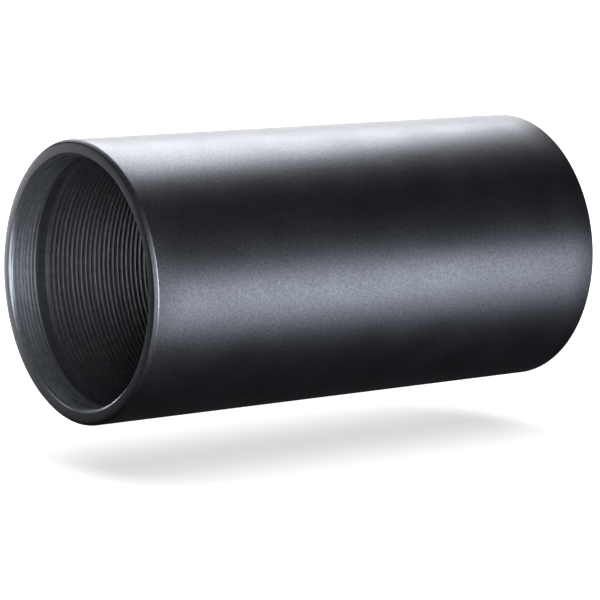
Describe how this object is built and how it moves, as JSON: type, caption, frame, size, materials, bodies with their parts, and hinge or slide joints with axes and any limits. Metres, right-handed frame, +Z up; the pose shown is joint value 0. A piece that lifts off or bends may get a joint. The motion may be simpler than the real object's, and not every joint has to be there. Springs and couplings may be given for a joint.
{
  "type": "barlow lens",
  "caption": "Plain black tube, internally threaded, holding a negative lens doublet in a cell that screws along the bore behind a knife-edged glare stop.",
  "frame": {"origin": "middle of the tube, on the optical axis, halfway between the end faces", "axes": "+Y along the optical axis towards the telescope end, -Y towards the camera end, +Z up as the tube lies"},
  "size_m": [0.0508, 0.1, 0.0508],
  "materials": {
    "black_anodised": "bead-blasted, satin black anodised",
    "black_cell": "turned, matt black anodised",
    "black_ring": "turned, matt black anodised",
    "flint_glass": "polished, anti-reflection coated",
    "crown_glass": "polished, anti-reflection coated",
    "brass_foil": "rolled foil",
    "nylon": "moulded"
  },
  "bodies": {
    "tube": {"barrel": "black_anodised", "glare_stop": "black_ring"},
    "glass_stack": {"meniscus_element": "flint_glass", "element_spacer": "brass_foil", "negative_element": "crown_glass", "cushion_ring": "nylon"},
    "cell": {"lens_cell": "black_cell", "retaining_ring": "black_ring"},
    "lock": {"lock_ring": "black_ring"}
  },
  "joints": [
    {"name": "cell_travel", "type": "slide", "parent": "tube", "child": "glass_stack", "axis": [0, -1, 0], "range_m": [0, 0.01]},
    {"name": "cell_turn", "type": "hinge", "parent": "glass_stack", "child": "cell", "pos_m": [0, 0.03, 0], "axis": [0, -1, 0], "range_deg": [0, 3600]},
    {"name": "lock_turn", "type": "hinge", "parent": "tube", "child": "lock", "pos_m": [0, 0.03825, 0], "axis": [0, 1, 0], "range_deg": [0, 90]}
  ],
  "couplings": [
    {"joint": "cell_travel", "follows": "cell_turn", "m_per_rad": 0.00015915}
  ]
}
